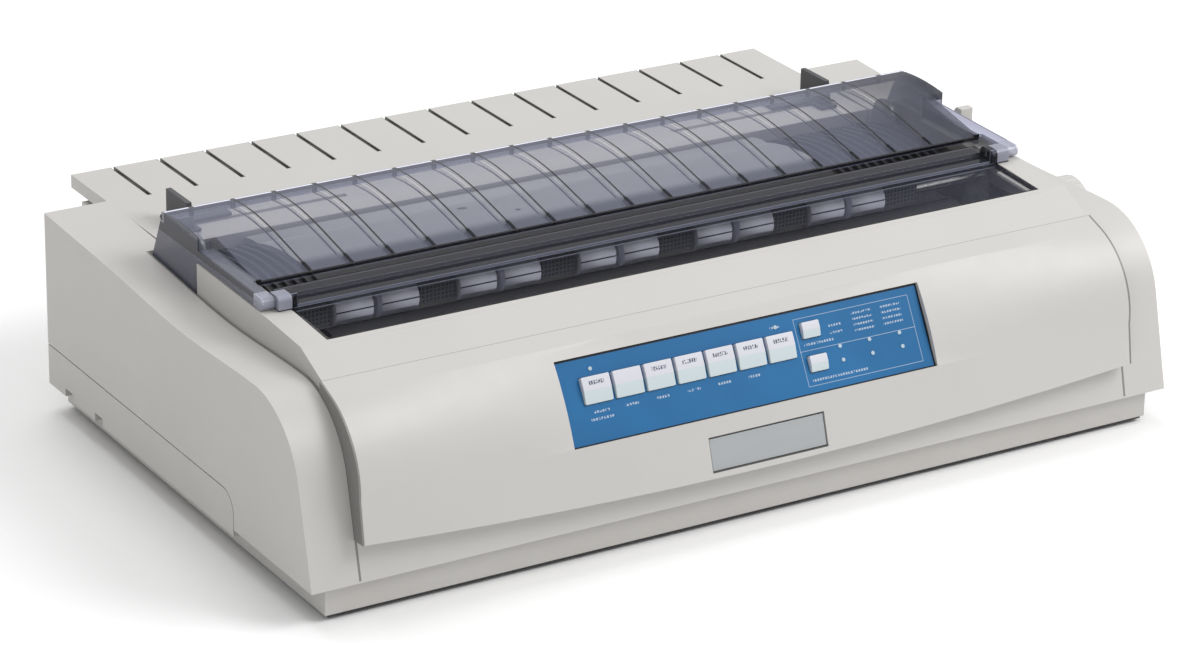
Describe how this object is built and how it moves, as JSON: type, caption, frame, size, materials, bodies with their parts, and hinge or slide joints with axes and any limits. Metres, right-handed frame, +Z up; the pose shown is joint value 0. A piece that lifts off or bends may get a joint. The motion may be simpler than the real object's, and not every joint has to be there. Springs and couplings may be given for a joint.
{
  "type": "dot matrix printer",
  "caption": "Low wide desktop dot matrix printer with a smoked rear hood and window, a sloped control panel, a platen knob and a slotted rear paper tray.",
  "frame": {"origin": "under the middle of the whole printer's box, at the underside of the feet", "axes": "+X to the user's right along the platen, +Y to the back, +Z up"},
  "size_m": [0.5686, 0.3802, 0.1473],
  "materials": {
    "case_shell": "fine texture",
    "base_shell": "fine texture",
    "smoked_sheet": "clear smoked",
    "separator_sheet": "fine texture",
    "dark_moulding": "fine texture",
    "panel_blue": "semi-gloss film",
    "key_cap": "satin",
    "lamp_lens": "clear lens",
    "plate_grey": "brushed",
    "sheet_steel": "zinc plated",
    "black_sheet": "satin black",
    "foot_rubber": "matt",
    "platen_rubber": "ground matt",
    "steel_rod": "ground",
    "gear_white": "satin",
    "pale_grey": "satin",
    "motor_case": "satin black",
    "cast_frame": "cast",
    "board_green": "lacquered",
    "core_steel": "varnished laminations",
    "inlet_black": "satin"
  },
  "bodies": {
    "case": {"upper_housing": "case_shell", "lower_housing": "base_shell", "bottom_cover": "black_sheet", "feet": "foot_rubber", "control_panel": "panel_blue", "panel_lamps": "lamp_lens", "nameplate": "plate_grey", "chassis_plate": "sheet_steel", "left_side_frame": "sheet_steel", "right_side_frame": "sheet_steel", "feed_motor": "motor_case", "roller_brackets": "dark_moulding", "paper_pan": "sheet_steel", "rear_paper_guide": "dark_moulding", "paper_chute": "pale_grey", "carriage_shaft": "steel_rod", "carriage_rack": "dark_moulding", "tractor_guide_shaft": "steel_rod", "main_board": "board_green", "power_supply": "core_steel", "power_inlet": "inlet_black", "parallel_port": "inlet_black"},
    "platen_roller": {"platen": "platen_rubber", "platen_shaft": "steel_rod", "platen_gear": "gear_white", "platen_knob": "case_shell"},
    "front_idler": {"idler_gear_front": "gear_white"},
    "rear_idler": {"idler_gear_rear": "gear_white"},
    "feed_pinion": {"feed_motor_pinion": "steel_rod"},
    "pressure_shaft": {"pressure_rollers": "pale_grey", "roller_shaft": "steel_rod"},
    "tractor_shaft": {"tractor_drive_shaft": "steel_rod", "tractor_gear": "gear_white"},
    "carriage_unit": {"carriage": "dark_moulding", "carriage_motor": "motor_case", "print_head": "cast_frame", "ribbon_cartridge": "dark_moulding"},
    "space_pinion": {"carriage_pinion": "steel_rod"},
    "ribbon_winder": {"ribbon_knob": "pale_grey"},
    "tractor_left": {"left_tractor": "dark_moulding"},
    "tractor_right": {"right_tractor": "dark_moulding"},
    "lid_left": {"left_tractor_lid": "dark_moulding"},
    "lid_right": {"right_tractor_lid": "dark_moulding"},
    "cover": {"access_cover": "case_shell", "front_window": "smoked_sheet"},
    "rear_hood": {"hood": "smoked_sheet"},
    "separator": {"paper_separator": "separator_sheet"},
    "guide_left": {"left_paper_guide": "dark_moulding"},
    "guide_right": {"right_paper_guide": "dark_moulding"},
    "lever": {"paper_lever": "pale_grey"},
    "rocker": {"power_switch": "inlet_black"},
    "upper_key": {"small_key_upper": "key_cap"},
    "lower_key": {"small_key_lower": "key_cap"},
    "large_key_1": {"key_1": "key_cap"},
    "large_key_2": {"key_2": "key_cap"},
    "large_key_3": {"key_3": "key_cap"},
    "large_key_4": {"key_4": "key_cap"},
    "large_key_5": {"key_5": "key_cap"},
    "large_key_6": {"key_6": "key_cap"},
    "large_key_7": {"key_7": "key_cap"}
  },
  "joints": [
    {"name": "cover_hinge", "type": "hinge", "parent": "case", "child": "cover", "pos_m": [-0.0083, 0.03833, 0.122], "axis": [-1, 0, 0], "range_deg": [0, 55]},
    {"name": "hood_hinge", "type": "hinge", "parent": "cover", "child": "rear_hood", "pos_m": [-0.0083, -0.06967, 0.1338], "axis": [1, 0, 0], "range_deg": [0, 75]},
    {"name": "separator_hinge", "type": "hinge", "parent": "case", "child": "separator", "pos_m": [-0.0083, 0.06783, 0.1122], "axis": [1, 0, 0], "range_deg": [0, 30]},
    {"name": "left_guide_slide", "type": "slide", "parent": "separator", "child": "guide_left", "axis": [1, 0, 0], "range_m": [0, 0.09]},
    {"name": "right_guide_slide", "type": "slide", "parent": "separator", "child": "guide_right", "axis": [-1, 0, 0], "range_m": [0, 0.09]},
    {"name": "platen_spin", "type": "hinge", "parent": "case", "child": "platen_roller", "pos_m": [-0.0083, -0.06917, 0.092], "axis": [1, 0, 0], "continuous": true},
    {"name": "front_idler_spin", "type": "hinge", "parent": "case", "child": "front_idler", "pos_m": [-0.244, -0.02145, 0.074], "axis": [1, 0, 0], "continuous": true},
    {"name": "rear_idler_spin", "type": "hinge", "parent": "case", "child": "rear_idler", "pos_m": [-0.244, 0.03855, 0.074], "axis": [1, 0, 0], "continuous": true},
    {"name": "tractor_shaft_spin", "type": "hinge", "parent": "case", "child": "tractor_shaft", "pos_m": [-0.0083, 0.08955, 0.074], "axis": [1, 0, 0], "continuous": true},
    {"name": "feed_pinion_spin", "type": "hinge", "parent": "case", "child": "feed_pinion", "pos_m": [-0.244, -0.04045, 0.04109], "axis": [1, 0, 0], "continuous": true},
    {"name": "pressure_roller_spin", "type": "hinge", "parent": "case", "child": "pressure_shaft", "pos_m": [-0.0083, -0.06017, 0.11777], "axis": [1, 0, 0], "continuous": true},
    {"name": "carriage_slide", "type": "slide", "parent": "case", "child": "carriage_unit", "axis": [1, 0, 0], "range_m": [0, 0.33]},
    {"name": "space_pinion_spin", "type": "hinge", "parent": "carriage_unit", "child": "space_pinion", "pos_m": [-0.1733, -0.14317, 0.034], "axis": [0, 0, 1], "continuous": true},
    {"name": "ribbon_knob_spin", "type": "hinge", "parent": "carriage_unit", "child": "ribbon_winder", "pos_m": [-0.1333, -0.11617, 0.1005], "axis": [0, 0, 1], "continuous": true},
    {"name": "left_tractor_slide", "type": "slide", "parent": "case", "child": "tractor_left", "axis": [1, 0, 0], "range_m": [-0.03, 0.06]},
    {"name": "right_tractor_slide", "type": "slide", "parent": "case", "child": "tractor_right", "axis": [-1, 0, 0], "range_m": [-0.03, 0.06]},
    {"name": "left_lid_hinge", "type": "hinge", "parent": "tractor_left", "child": "lid_left", "pos_m": [-0.1971, 0.08955, 0.0846], "axis": [0, -1, 0], "range_deg": [0, 75]},
    {"name": "right_lid_hinge", "type": "hinge", "parent": "tractor_right", "child": "lid_right", "pos_m": [0.1805, 0.08955, 0.0846], "axis": [0, 1, 0], "range_deg": [0, 75]},
    {"name": "paper_lever_tilt", "type": "hinge", "parent": "case", "child": "lever", "pos_m": [0.2602, 0.01233, 0.092], "axis": [1, 0, 0], "range_deg": [-12, 12]},
    {"name": "power_switch_tilt", "type": "hinge", "parent": "case", "child": "rocker", "pos_m": [-0.1933, 0.12833, 0.027], "axis": [-1, 0, 0], "range_deg": [0, 8]},
    {"name": "key_1_press", "type": "slide", "parent": "case", "child": "large_key_1", "axis": [0, 0.8678, -0.497], "range_m": [0, 0.0012], "stiffness_N_per_m": 500},
    {"name": "key_2_press", "type": "slide", "parent": "case", "child": "large_key_2", "axis": [0, 0.8678, -0.497], "range_m": [0, 0.0012], "stiffness_N_per_m": 500},
    {"name": "key_3_press", "type": "slide", "parent": "case", "child": "large_key_3", "axis": [0, 0.8678, -0.497], "range_m": [0, 0.0012], "stiffness_N_per_m": 500},
    {"name": "key_4_press", "type": "slide", "parent": "case", "child": "large_key_4", "axis": [0, 0.8678, -0.497], "range_m": [0, 0.0012], "stiffness_N_per_m": 500},
    {"name": "key_5_press", "type": "slide", "parent": "case", "child": "large_key_5", "axis": [0, 0.8678, -0.497], "range_m": [0, 0.0012], "stiffness_N_per_m": 500},
    {"name": "key_6_press", "type": "slide", "parent": "case", "child": "large_key_6", "axis": [0, 0.8678, -0.497], "range_m": [0, 0.0012], "stiffness_N_per_m": 500},
    {"name": "key_7_press", "type": "slide", "parent": "case", "child": "large_key_7", "axis": [0, 0.8678, -0.497], "range_m": [0, 0.0012], "stiffness_N_per_m": 500},
    {"name": "small_key_upper_press", "type": "slide", "parent": "case", "child": "upper_key", "axis": [0, 0.8678, -0.497], "range_m": [0, 0.0012], "stiffness_N_per_m": 400},
    {"name": "small_key_lower_press", "type": "slide", "parent": "case", "child": "lower_key", "axis": [0, 0.8678, -0.497], "range_m": [0, 0.0012], "stiffness_N_per_m": 400}
  ],
  "couplings": [
    {"joint": "front_idler_spin", "follows": "platen_spin", "ratio": -0.7},
    {"joint": "rear_idler_spin", "follows": "platen_spin", "ratio": 0.7},
    {"joint": "tractor_shaft_spin", "follows": "platen_spin", "ratio": -1},
    {"joint": "feed_pinion_spin", "follows": "platen_spin", "ratio": 2.625},
    {"joint": "pressure_roller_spin", "follows": "platen_spin", "ratio": -2},
    {"joint": "space_pinion_spin", "follows": "carriage_slide", "rad_per_m": -125}
  ]
}
